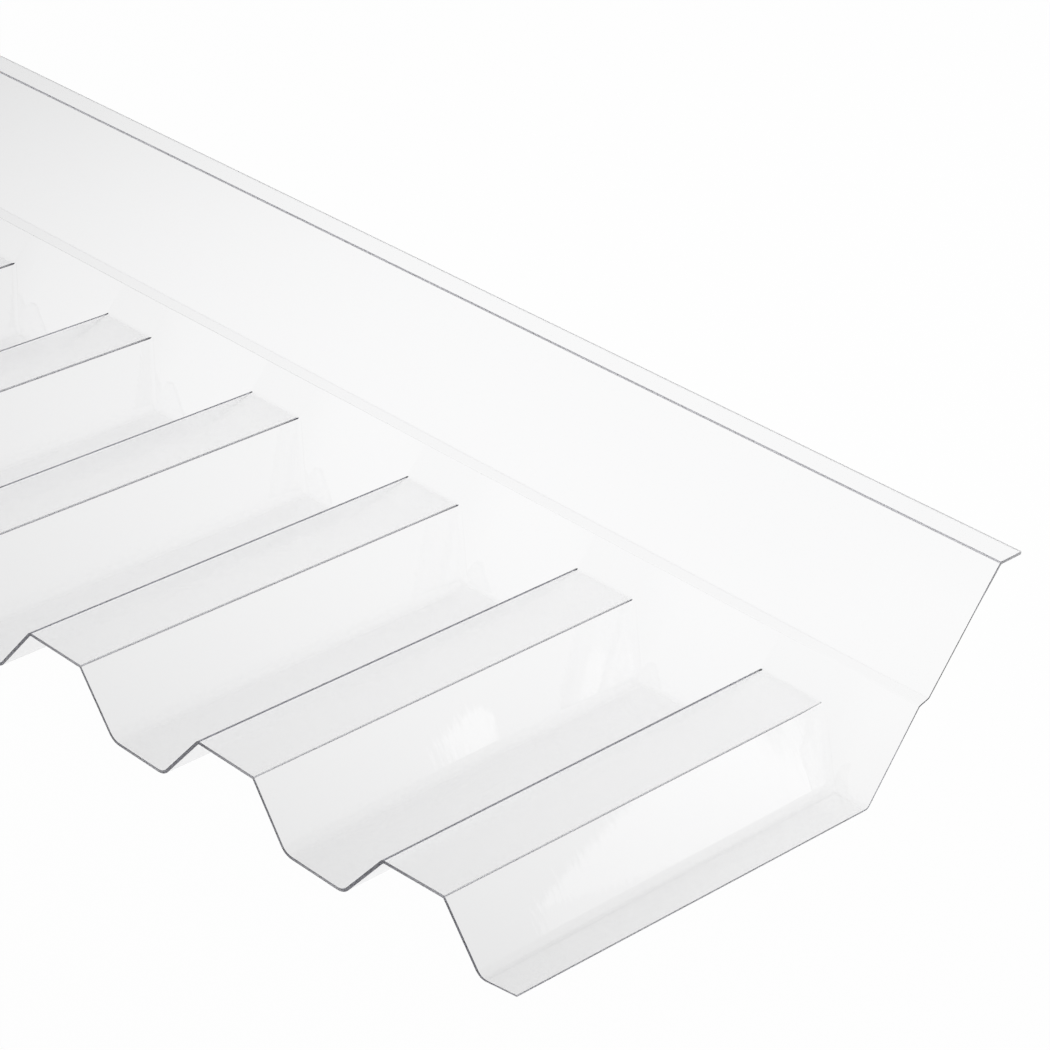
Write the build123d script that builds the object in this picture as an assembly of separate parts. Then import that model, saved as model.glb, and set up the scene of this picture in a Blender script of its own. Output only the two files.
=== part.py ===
import math
import os

from build123d import *

# Clear corrugated wall flashing, one formed sheet. Millimetres and degrees.
# X runs along the wall, Y from the front edge to the wall, Z up.
# The undersides of the valleys lie on the floor at Z = 0.

sheet_length = 840.0
sheet_thickness = 1.0

# trapezoidal ridges of the apron, measured on the upper face
ridge_pitch = 76.0
ridge_depth = 18.0
crest_width = 24.0
flank_run = 15.0

# the section across the wall, measured on the upper face of a valley
apron_length = 139.5
wall_angle = 53.0
lower_leg = 32.5
step_offset = 2.0
step_run = 2.6
upper_leg = 44.5
lip_width = 9.5

# inside radii of the bends
crest_bend_radius = 1.2
valley_bend_radius = 5.0
wall_bend_radius = 1.6
step_bend_radius = 1.2
lip_bend_radius = 1.2


def parallel(points, distance):
    # the same open path, moved to its right-hand side by the distance
    normals = []
    for (a, b), (c, d) in zip(points, points[1:]):
        run = math.hypot(c - a, d - b)
        normals.append(((d - b) / run, (a - c) / run))
    moved = []
    for index, (a, b) in enumerate(points):
        m = normals[max(index - 1, 0)]
        n = normals[min(index, len(normals) - 1)]
        share = distance / (1 + m[0] * n[0] + m[1] * n[1])
        moved.append((a + share * (m[0] + n[0]), b + share * (m[1] + n[1])))
    return moved


def body_under(points, radii, base, plane, reach):
    # everything below a bent path, carried along the normal of its plane
    path = FilletPolyline(*points, radius=radii)
    first, last = points[0], points[-1]
    closing = Polyline(last, (last[0], base), (first[0], base), first)
    return extrude(plane * make_face(path + closing), amount=reach)


def radius_on(side, inside, opens_up):
    # a bend is wider by the thickness on its outer side
    outer = opens_up == (side > 0)
    return inside + sheet_thickness if outer else inside


# upper path of the corrugation, one ridge more than fits on each side
top = sheet_thickness
crest = top + ridge_depth
ridges_each_side = math.ceil(sheet_length / 2 / ridge_pitch)
half_run = (ridges_each_side + 0.5) * ridge_pitch
ridge_path = [(-half_run, top)]
for number in range(-ridges_each_side, ridges_each_side + 1):
    centre = number * ridge_pitch
    ridge_path += [
        (centre - crest_width / 2 - flank_run, top),
        (centre - crest_width / 2, crest),
        (centre + crest_width / 2, crest),
        (centre + crest_width / 2 + flank_run, top),
    ]
ridge_path.append((half_run, top))

# upper path of the wall legs, the step between them and the lip
up_y = math.cos(math.radians(wall_angle))
up_z = math.sin(math.radians(wall_angle))
bend = (apron_length, top)
below = (bend[0] - ridge_depth * up_y, bend[1] - ridge_depth * up_z)
step_low = (bend[0] + lower_leg * up_y, bend[1] + lower_leg * up_z)
step_high = (
    step_low[0] + step_run * up_y + step_offset * up_z,
    step_low[1] + step_run * up_z - step_offset * up_y,
)
lip_bend = (step_high[0] + upper_leg * up_y, step_high[1] + upper_leg * up_z)
lip_end = (lip_bend[0] + lip_width, lip_bend[1])
ridge_reach = bend[0] + (ridge_depth + 4 * sheet_thickness) * up_y / up_z


def formed_body(side):
    # the space under the upper face (side 0) or under the lower face (side 1)
    drop = side * sheet_thickness
    spare = side * 10.0
    base = -2 * ridge_depth - spare

    ridges = parallel(ridge_path, drop)
    one_ridge = [
        radius_on(side, valley_bend_radius, True),
        radius_on(side, crest_bend_radius, False),
        radius_on(side, crest_bend_radius, False),
        radius_on(side, valley_bend_radius, True),
    ]
    ridge_radii = one_ridge * (2 * ridges_each_side + 1)
    front = Plane((0, -spare, 0), x_dir=(1, 0, 0), z_dir=(0, -1, 0))
    apron = body_under(ridges, ridge_radii, base, front, -(ridge_reach + spare))

    wall = parallel([below, step_low, step_high, lip_bend, lip_end], drop)
    wall[-1] = (wall[-1][0] + spare, wall[-1][1])
    wall_radii = [
        radius_on(side, step_bend_radius, False),
        radius_on(side, step_bend_radius, True),
        radius_on(side, lip_bend_radius, False),
    ]
    end = Plane((-half_run, 0, 0), x_dir=(0, 1, 0), z_dir=(1, 0, 0))
    legs = body_under(wall, wall_radii, base, end, 2 * half_run)

    # the rounded line where the ridges and valleys run into the lower leg
    body = apron + legs
    foot = Vector(0, wall[0][0], wall[0][1])
    across = Vector(0, -up_z, up_y)
    meeting = []
    for edge in body.edges():
        spots = [edge @ 0, edge @ 0.5, edge @ 1]
        on_leg = all(abs((spot - foot).dot(across)) < 1e-4 for spot in spots)
        low = spots[1].Z < crest + sheet_thickness and spots[1].Z > -drop - sheet_thickness
        inside = abs(spots[1].X) < half_run - 1e-4
        if on_leg and low and inside:
            meeting.append(edge)
    return fillet(meeting, radius_on(side, wall_bend_radius, True))


sheet = formed_body(0) - formed_body(1)
trim = Box(sheet_length, 4 * lip_end[0], 4 * lip_end[1])
sheet = sheet & trim

# the origin is the middle of the footprint, on the floor
sheet = Pos(0, -lip_end[0] / 2, 0) * sheet

os.makedirs("parts", exist_ok=True)
solid = sheet.solids()[0]
export_step(solid, "parts/flashing_sheet.step")
print("solids", len(sheet.solids()), "volume", round(solid.volume), solid.bounding_box())
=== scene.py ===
import math

import bpy
import numpy as np
from mathutils import Matrix, Vector


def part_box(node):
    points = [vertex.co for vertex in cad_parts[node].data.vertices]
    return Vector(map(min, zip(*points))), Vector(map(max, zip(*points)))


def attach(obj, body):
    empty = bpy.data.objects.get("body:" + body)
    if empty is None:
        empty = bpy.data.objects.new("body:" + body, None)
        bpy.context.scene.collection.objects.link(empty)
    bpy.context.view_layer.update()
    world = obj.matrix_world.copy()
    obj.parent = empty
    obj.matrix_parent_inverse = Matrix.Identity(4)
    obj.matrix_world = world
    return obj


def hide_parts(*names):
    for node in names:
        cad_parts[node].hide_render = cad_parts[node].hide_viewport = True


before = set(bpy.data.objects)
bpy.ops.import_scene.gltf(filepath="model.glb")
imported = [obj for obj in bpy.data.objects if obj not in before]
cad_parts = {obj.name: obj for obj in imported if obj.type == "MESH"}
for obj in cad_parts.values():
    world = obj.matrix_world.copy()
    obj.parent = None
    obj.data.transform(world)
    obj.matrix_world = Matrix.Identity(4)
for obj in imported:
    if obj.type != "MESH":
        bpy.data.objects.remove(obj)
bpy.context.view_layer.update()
print("frame loaded", sorted(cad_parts))

scene = bpy.context.scene
scene.view_settings.view_transform = "Standard"
# light runs a long way inside the sheet before it leaves at a bend or a cut edge
bounceLimit = 128
scene.cycles.max_bounces = bounceLimit
scene.cycles.glossy_bounces = bounceLimit
scene.cycles.transmission_bounces = bounceLimit


# the clear sheet: sizes in metres, taken on its upper face
sheetShape = {
    "thickness": 0.0010,
    "ridgePitch": 0.076,
    "ridgeDepth": 0.018,
    "crestWidth": 0.024,
    "flankRun": 0.015,
    "crestRadii": (0.0019, 0.0010),  # left and right of a crest
    "valleyRadius": 0.0050,
    "apronLength": 0.1395,
    "legAngles": (math.radians(55.0), math.radians(53.0)),  # below and above the step
    "wallRadius": 0.0015,
    "crestSetBack": 0.0020,          # a ridge ends this much earlier at its crest than the leg's slope gives
    "lowerLeg": 0.0325,
    "stepOffset": 0.0025,
    "stepRun": 0.0033,
    "upperLeg": 0.0436,
    "lipWidth": 0.0095,
    "stepRadii": (0.00125, 0.0004),
    "lipRadius": 0.0010,
    "arcSteps": 7,                   # faces round each bend
    "ridgeSteps": 3,                 # faces across each crest, flank and valley
    "wallSteps": (16, 4, 1, 8, 3),   # faces along the apron, lower leg, step, upper leg and lip
    "cutInset": 0.0003,              # a narrow row of faces along every cut edge
    # the sprung right end stands up at the front: distance from the end, and height
    "endLift": ((0.052, 0.0), (0.028, 0.0012), (0.013, 0.0012), (0.0, 0.0030)),
    # one right flank stands a little steeper: its ridge, the way along it, how far its foot is pulled in
    "leanRidge": 4,
    "leanAlong": (0.088, 0.100),
    "lean": (0.00118, 0.0006),
    # the sheet thins to both ends, but not at the lip
    "thinShare": 0.45,
    "thinReached": 0.0107,           # the way from the end where it is this thin
    "thinStart": (0.0145, 0.060),    # and where that begins, on the apron and on the wall
    "thinBlend": 0.015,              # the way up the wall, in plan, from the one start to the other
    "thinBelowLip": (0.040, 0.047),  # it fades out this far behind the foot of the wall
    "cutAngle": math.radians(60.0),  # edges sharper than this are cut edges
}


def straightPoints(start, end, count):
    return [start.lerp(end, (n + 1) / count) for n in range(count)]


def bentPath(points, radii, arcSteps, straightSteps):
    # an open path in a plane, with each inner corner turned into an arc
    points = [Vector(p) for p in points]
    path = [points[0]]
    for before, corner, after, radius, count in zip(points, points[1:], points[2:], radii, straightSteps):
        a = (before - corner).normalized()
        b = (after - corner).normalized()
        half = a.angle(b) / 2
        centre = corner + (a + b).normalized() * (radius / math.sin(half))
        start = corner + a * (radius / math.tan(half))
        end = corner + b * (radius / math.tan(half))
        sweep = (start - centre).angle_signed(end - centre)
        path += straightPoints(path[-1], start, count)
        for step in range(1, arcSteps + 1):
            turn = Matrix.Rotation(-sweep * step / arcSteps, 2)
            path.append(centre + turn @ (start - centre))
    return path + straightPoints(path[-1], points[-1], straightSteps[-1])


def withCutRows(path, inset):
    first = path[0] + (path[1] - path[0]).normalized() * inset
    last = path[-1] + (path[-2] - path[-1]).normalized() * inset
    return [path[0], first, *path[1:-1], last, path[-1]]


def ridgeProfile(shape, halfLength):
    # across the ridges: x along the sheet and the height above the valleys
    crestHalf = shape["crestWidth"] / 2
    footHalf = crestHalf + shape["flankRun"]
    eachSide = int(halfLength // shape["ridgePitch"])
    points = [(-halfLength, 0)]
    radii = []
    for number in range(-eachSide, eachSide + 1):
        centre = number * shape["ridgePitch"]
        points += [
            (centre - footHalf, 0),
            (centre - crestHalf, shape["ridgeDepth"]),
            (centre + crestHalf, shape["ridgeDepth"]),
            (centre + footHalf, 0),
        ]
        radii += [shape["valleyRadius"], *shape["crestRadii"], shape["valleyRadius"]]
    points.append((halfLength, 0))
    path = bentPath(points, radii, shape["arcSteps"], [shape["ridgeSteps"]] * (len(points) - 1))
    return withCutRows(path, shape["cutInset"])


def wallSection(shape, height):
    # from the front edge to the lip, at one height of the apron
    rise, up = [Vector((math.cos(a), math.sin(a))) for a in shape["legAngles"]]
    out = Vector((up.y, -up.x))
    foot = Vector((shape["apronLength"], 0))
    stepLow = foot + rise * shape["lowerLeg"]
    stepHigh = stepLow + up * shape["stepRun"] + out * shape["stepOffset"]
    lipBend = stepHigh + up * shape["upperLeg"]
    lipEnd = lipBend + Vector((shape["lipWidth"], 0))
    setBack = shape["crestSetBack"] * height / shape["ridgeDepth"]
    bend = foot + rise * (height / rise.y) - Vector((setBack, 0))
    points = [(0, height), bend, stepLow, stepHigh, lipBend, lipEnd]
    radii = [shape["wallRadius"], *shape["stepRadii"], shape["lipRadius"]]
    path = bentPath(points, radii, shape["arcSteps"], shape["wallSteps"])
    return withCutRows(path, shape["cutInset"])


def sheetRows(shape, box):
    # one row of points from the front edge to the lip for each place across the ridges
    low, high = box
    liftPlaces = [high[0] - place for place, height in shape["endLift"]]
    liftHeights = [height for place, height in shape["endLift"]]
    leanStart = shape["leanRidge"] * shape["ridgePitch"] + shape["crestWidth"] / 2
    leanFoot = leanStart + shape["flankRun"]
    leanEnd = leanStart + shape["ridgePitch"] - shape["crestWidth"] - shape["flankRun"]
    rows = []
    for x, height in ridgeProfile(shape, (high[0] - low[0]) / 2):
        endLift = np.interp(x, liftPlaces, liftHeights)
        pull = np.interp(x, (leanStart, leanFoot, leanEnd), (0, 1, 0))
        row = []
        for y, z in wallSection(shape, height):
            near = max(0.0, 1 - y / shape["apronLength"])
            lean = np.interp(y, shape["leanAlong"], shape["lean"])
            row.append((x - pull * lean, low[1] + y, low[2] + shape["thickness"] + z + endLift * near))
        rows.append(row)
    return rows


def makeSheet(shape, box):
    rows = sheetRows(shape, box)
    across = len(rows[0])
    points = [p for row in rows for p in row]
    faces = []
    for i in range(len(rows) - 1):
        for j in range(across - 1):
            corner = i * across + j
            faces.append((corner, corner + across, corner + across + 1, corner + 1))
    mesh = bpy.data.meshes.new("clearSheet")
    mesh.from_pydata(points, [], faces)
    mesh.update()
    for face in mesh.polygons:
        face.use_smooth = True
    sheet = bpy.data.objects.new("clearSheet", mesh)
    scene.collection.objects.link(sheet)
    return sheet


def markThinEnds(sheet, shape, box):
    low, high = box
    wallFoot = low[1] + shape["apronLength"]
    thinEnds = sheet.vertex_groups.new(name="thinEnds")
    for point in sheet.data.vertices:
        behind = point.co.y - wallFoot
        start = np.interp(behind, (0, shape["thinBlend"]), shape["thinStart"])
        most = np.interp(behind, shape["thinBelowLip"], (shape["thinShare"], 0))
        share = np.interp(high[0] - abs(point.co.x), (shape["thinReached"], start), (most, 0))
        thinEnds.add([point.index], float(share), "REPLACE")


def thickenSheet(sheet, shape):
    sheet.vertex_groups.new(name="cutEdge")  # filled by the modifier, read by the material
    thicken = sheet.modifiers.new("thickness", "SOLIDIFY")
    thicken.thickness = shape["thickness"]
    thicken.offset = -1
    thicken.use_even_offset = True
    thicken.use_rim = True
    thicken.rim_vertex_group = "cutEdge"
    thicken.vertex_group = "thinEnds"
    thicken.invert_vertex_group = True
    split = sheet.modifiers.new("cut edges", "EDGE_SPLIT")
    split.split_angle = shape["cutAngle"]
    sheet.modifiers.new("flat faces", "WEIGHTED_NORMAL")


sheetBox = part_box("flashing_sheet")
sheet = makeSheet(sheetShape, sheetBox)
markThinEnds(sheet, sheetShape, sheetBox)
thickenSheet(sheet, sheetShape)
print("sheet", len(sheet.data.vertices), "points")


def addNode(tree, kind, inputs):
    # each input is a plain value or the output of another node
    node = tree.nodes.new(kind)
    for name, value in inputs.items():
        if isinstance(value, bpy.types.NodeSocket):
            tree.links.new(value, node.inputs[name])
        else:
            node.inputs[name].default_value = value
    return node


def addMath(tree, operation, *values):
    node = addNode(tree, "ShaderNodeMath", dict(enumerate(values)))
    node.operation = operation
    return node.outputs[0]


def anyRay(tree, *kinds):
    # 1 for a ray of one of these kinds
    rays = tree.nodes.new("ShaderNodeLightPath").outputs
    found = rays[kinds[0]]
    for kind in kinds[1:]:
        found = addMath(tree, "MAXIMUM", found, rays[kind])
    return found


def mixShaders(tree, share, first, second):
    return addNode(tree, "ShaderNodeMixShader", {0: share, 1: first.outputs[0], 2: second.outputs[0]})


def emptyMaterial(name):
    material = bpy.data.materials.new(name)
    material.use_nodes = True
    material.node_tree.nodes.clear()
    return material


clearLook = {
    "colour": (1.0, 1.0, 1.0, 1),
    "scuffed": (0.976, 0.976, 0.978, 1),
    "ior": 1.54,
    "tint": (0.80, 0.80, 0.83, 1),
    "tintDensity": 80.0,
    "shadow": (0.98, 0.98, 0.982, 1),
    "waveSize": 0.045,
    "waveHeight": 0.00002,
    "rippleSize": 0.0016,
    "rippleStretch": (0.12, 1.0, 0.12),
    "rippleHeight": 0.000006,
    "scuffSize": 0.0011,
    "scuffStretch": (1.0, 0.6, 1.0),
    "scuffSpread": (0.40, 0.66),
    "scuffHeights": (0.0045, 0.0015),  # no scuffs above the first, all of them below the second
    "cutStart": 0.9,                   # the matt finish begins where the cut-edge mask reaches this
    "cutRoughness": 0.5,
    "hazeRoughness": 0.16,             # the flat crests and valleys took a faint haze from the mould
    "hazeSlope": (0.90, 0.985),        # upright share of the normal where the haze begins and is full
    "hazeTop": 0.022,                  # step and lip, above this height, are clear
}


def noiseAt(tree, place, size, detail):
    noise = addNode(tree, "ShaderNodeTexNoise", {"Vector": place, "Scale": 1 / size, "Detail": detail})
    return noise.outputs["Fac"]


def stretched(tree, place, scale):
    return addNode(tree, "ShaderNodeMapping", {"Vector": place, "Scale": scale}).outputs["Vector"]


def formedNormal(tree, look, place):
    # slow waves left by forming, and a fine ripple on top
    waves = addNode(tree, "ShaderNodeBump", {
        "Strength": 1.0,
        "Distance": look["waveHeight"],
        "Height": noiseAt(tree, place, look["waveSize"], 1.0),
    })
    ripplePlace = stretched(tree, place, look["rippleStretch"])
    ripples = addNode(tree, "ShaderNodeBump", {
        "Strength": 1.0,
        "Distance": look["rippleHeight"],
        "Height": noiseAt(tree, ripplePlace, look["rippleSize"], 2.0),
        "Normal": waves.outputs["Normal"],
    })
    return ripples.outputs["Normal"]


def scuffedColour(tree, look, place, height):
    # faint scuffs where the valleys have lain on other sheets
    scuffPlace = stretched(tree, place, look["scuffStretch"])
    spots = addNode(tree, "ShaderNodeMapRange", {
        "Value": noiseAt(tree, scuffPlace, look["scuffSize"], 3.0),
        "From Min": look["scuffSpread"][0],
        "From Max": look["scuffSpread"][1],
    })
    low = addNode(tree, "ShaderNodeMapRange", {
        "Value": height,
        "From Min": look["scuffHeights"][0],
        "From Max": look["scuffHeights"][1],
    })
    colour = tree.nodes.new("ShaderNodeMix")
    colour.data_type = "RGBA"
    colour.inputs["A"].default_value = look["colour"]
    colour.inputs["B"].default_value = look["scuffed"]
    amount = addMath(tree, "MULTIPLY", spots.outputs["Result"], low.outputs["Result"])
    tree.links.new(amount, colour.inputs["Factor"])
    return colour.outputs["Result"]


def sheetRoughness(tree, look, height):
    # matt cut edges and hazy flats, clear elsewhere
    cut = tree.nodes.new("ShaderNodeAttribute")
    cut.attribute_name = "cutEdge"
    matt = addNode(tree, "ShaderNodeMapRange", {
        "Value": cut.outputs["Fac"],
        "From Min": look["cutStart"],
        "To Max": look["cutRoughness"],
    })
    face = tree.nodes.new("ShaderNodeNewGeometry")
    facing = addNode(tree, "ShaderNodeSeparateXYZ", {0: face.outputs["Normal"]})
    haze = addNode(tree, "ShaderNodeMapRange", {
        "Value": addMath(tree, "ABSOLUTE", facing.outputs["Z"]),
        "From Min": look["hazeSlope"][0],
        "From Max": look["hazeSlope"][1],
        "To Max": look["hazeRoughness"],
    })
    apron = addMath(tree, "LESS_THAN", height, look["hazeTop"])
    hazy = addMath(tree, "MULTIPLY", haze.outputs["Result"], apron)
    return addMath(tree, "MAXIMUM", matt.outputs["Result"], hazy)


def clearPlastic(look):
    material = emptyMaterial("clearPlastic")
    tree = material.node_tree
    place = tree.nodes.new("ShaderNodeTexCoord").outputs["Object"]
    height = addNode(tree, "ShaderNodeSeparateXYZ", {0: place}).outputs["Z"]
    plastic = addNode(tree, "ShaderNodeBsdfPrincipled", {
        "Base Color": scuffedColour(tree, look, place, height),
        "Roughness": sheetRoughness(tree, look, height),
        "IOR": look["ior"],
        "Transmission Weight": 1.0,
        "Normal": formedNormal(tree, look, place),
    })
    # lamps and soft light reach the floor through the sheet
    passing = addNode(tree, "ShaderNodeBsdfTransparent", {"Color": look["shadow"]})
    mix = mixShaders(tree, anyRay(tree, "Is Shadow Ray", "Is Diffuse Ray"), plastic, passing)
    tint = addNode(tree, "ShaderNodeVolumeAbsorption", {
        "Color": look["tint"],
        "Density": look["tintDensity"],
    })
    addNode(tree, "ShaderNodeOutputMaterial", {"Surface": mix.outputs[0], "Volume": tint.outputs[0]})
    return material


sheet.data.materials.append(clearPlastic(clearLook))
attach(sheet, "root")
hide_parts("flashing_sheet")
print("materials on")


floorLook = {
    "size": 6.0,
    "drop": 0.0004,
    "colour": (0.74, 0.74, 0.74, 1),
    "lift": 0.97,      # how far the floor is raised to white, seen directly, mirrored or through the sheet
    # a painted pool of light, seen only through the sheet: its middle, reach, fade and edge level
    "paintedPoolMiddle": (0.26, 0.24, 0.0),
    "paintedPoolReach": (0.46, 0.41, 1.0),
    "paintedPoolFade": (0.29, 1.44),
    "paintedPoolEdge": 0.65,  # painted pool of light: through the sheet the white falls off to this around a pool of light painted on the floor, not cast by a lamp
}


def paleFloor(look):
    material = emptyMaterial("paleFloor")
    tree = material.node_tree
    place = tree.nodes.new("ShaderNodeTexCoord").outputs["Object"]
    # painted pool of light: the floor's white falls off with distance from a set middle, painted into its
    # emission rather than lit by a lamp
    paintedPool = addNode(tree, "ShaderNodeMapping", {
        "Vector": place,
        "Location": look["paintedPoolMiddle"],
        "Scale": look["paintedPoolReach"],
    })
    paintedPool.vector_type = "TEXTURE"
    far = addNode(tree, "ShaderNodeVectorMath", {0: paintedPool.outputs["Vector"]})
    far.operation = "LENGTH"
    paintedFalloff = addNode(tree, "ShaderNodeMapRange", {
        "Value": far.outputs["Value"],
        "From Min": look["paintedPoolFade"][0],
        "From Max": look["paintedPoolFade"][1],
        "To Min": 1.0,
        "To Max": look["paintedPoolEdge"],
    })
    paintedFalloff.interpolation_type = "SMOOTHSTEP"
    # rays through the sheet see the painted pool of light, all other rays see plain white
    level = addNode(tree, "ShaderNodeMix", {
        "Factor": anyRay(tree, "Is Transmission Ray"),
        "A": 1.0,
        "B": paintedFalloff.outputs["Result"],
    })
    white = addNode(tree, "ShaderNodeEmission", {"Strength": level.outputs["Result"]})
    paper = addNode(tree, "ShaderNodeBsdfDiffuse", {"Color": look["colour"]})
    seen = anyRay(tree, "Is Camera Ray", "Is Transmission Ray", "Is Glossy Ray")
    mix = mixShaders(tree, addMath(tree, "MULTIPLY", seen, look["lift"]), paper, white)
    addNode(tree, "ShaderNodeOutputMaterial", {"Surface": mix.outputs[0]})
    return material


def makeFloor(look):
    half = look["size"] / 2
    corners = [(-half, -half, 0), (half, -half, 0), (half, half, 0), (-half, half, 0)]
    mesh = bpy.data.meshes.new("floor")
    mesh.from_pydata(corners, [], [(0, 1, 2, 3)])
    mesh.materials.append(paleFloor(look))
    floor = bpy.data.objects.new("floor", mesh)
    floor.location.z = -look["drop"]
    scene.collection.objects.link(floor)


makeFloor(floorLook)


# brightness of the room by height: a white sweep low down, a darker room above
worldLook = {0.15: 1.0, 0.44: 0.72, 0.58: 0.41, 0.75: 0.30, 1.0: 0.50}


def makeWorld(look):
    world = bpy.data.worlds.new("studio")
    scene.world = world
    world.use_nodes = True
    tree = world.node_tree
    tree.nodes.clear()
    place = tree.nodes.new("ShaderNodeTexCoord").outputs["Generated"]
    parts = addNode(tree, "ShaderNodeSeparateXYZ", {0: place})
    ramp = addNode(tree, "ShaderNodeValToRGB", {0: parts.outputs["Z"]})
    steps = ramp.color_ramp.elements
    while len(steps) < len(look):
        steps.new(1.0)
    for step, (height, level) in zip(steps, look.items()):
        step.position = height
        step.color = (level, level, level, 1)
    room = addNode(tree, "ShaderNodeBackground", {"Color": ramp.outputs[0]})
    white = addNode(tree, "ShaderNodeBackground", {"Color": (1, 1, 1, 1)})
    # a white background, while mirrored and soft light comes from the room
    mix = mixShaders(tree, anyRay(tree, "Is Camera Ray", "Is Transmission Ray"), room, white)
    addNode(tree, "ShaderNodeOutputWorld", {"Surface": mix.outputs[0]})


makeWorld(worldLook)


# softboxes: where they stand, what they face, width and height, radiance
lampLook = {
    "sideBox": {
        "place": (2.88, 2.13, 1.24),
        "aim": (0.40, -0.02, 0.01),
        "size": (0.77, 0.716),
        "radiance": 0.55,
        "mirrored": True,
    },
    "topBox": {
        "place": (0.35, 0.40, 0.75),
        "aim": (0.35, 0.40, 0.0),
        "size": (0.9, 0.5),
        "radiance": 3.0,
        "mirrored": False,
    },
}


def addSoftbox(name, look):
    width, height = look["size"]
    lamp = bpy.data.lights.new(name, "AREA")
    lamp.shape = "RECTANGLE"
    lamp.size = width
    lamp.size_y = height
    lamp.energy = look["radiance"] * math.pi * width * height
    box = bpy.data.objects.new(name, lamp)
    place = Vector(look["place"])
    box.location = place
    box.rotation_euler = (place - Vector(look["aim"])).to_track_quat("Z", "Y").to_euler()
    box.visible_glossy = look["mirrored"]
    box.visible_transmission = look["mirrored"]
    scene.collection.objects.link(box)


for name, look in lampLook.items():
    addSoftbox(name, look)
print("floor and light set")


cameraLook = {
    "place": (0.92227, -0.62762, 0.55019),
    "right": (0.70073, 0.71180, 0.04809),
    "forward": (-0.60540, 0.62894, -0.48779),
    "lens": 119.99,
    "sensor": 36.0,
}


def makeCamera(look):
    data = bpy.data.cameras.new("camera")
    data.sensor_fit = "HORIZONTAL"
    data.sensor_width = look["sensor"]
    data.lens = look["lens"]
    camera = bpy.data.objects.new("camera", data)
    forward = Vector(look["forward"]).normalized()
    right = Vector(look["right"]).normalized()
    up = right.cross(forward).normalized()
    turn = Matrix((right, up, -forward)).transposed()
    camera.matrix_world = Matrix.Translation(look["place"]) @ turn.to_4x4()
    scene.collection.objects.link(camera)
    scene.camera = camera


makeCamera(cameraLook)
print("camera set")
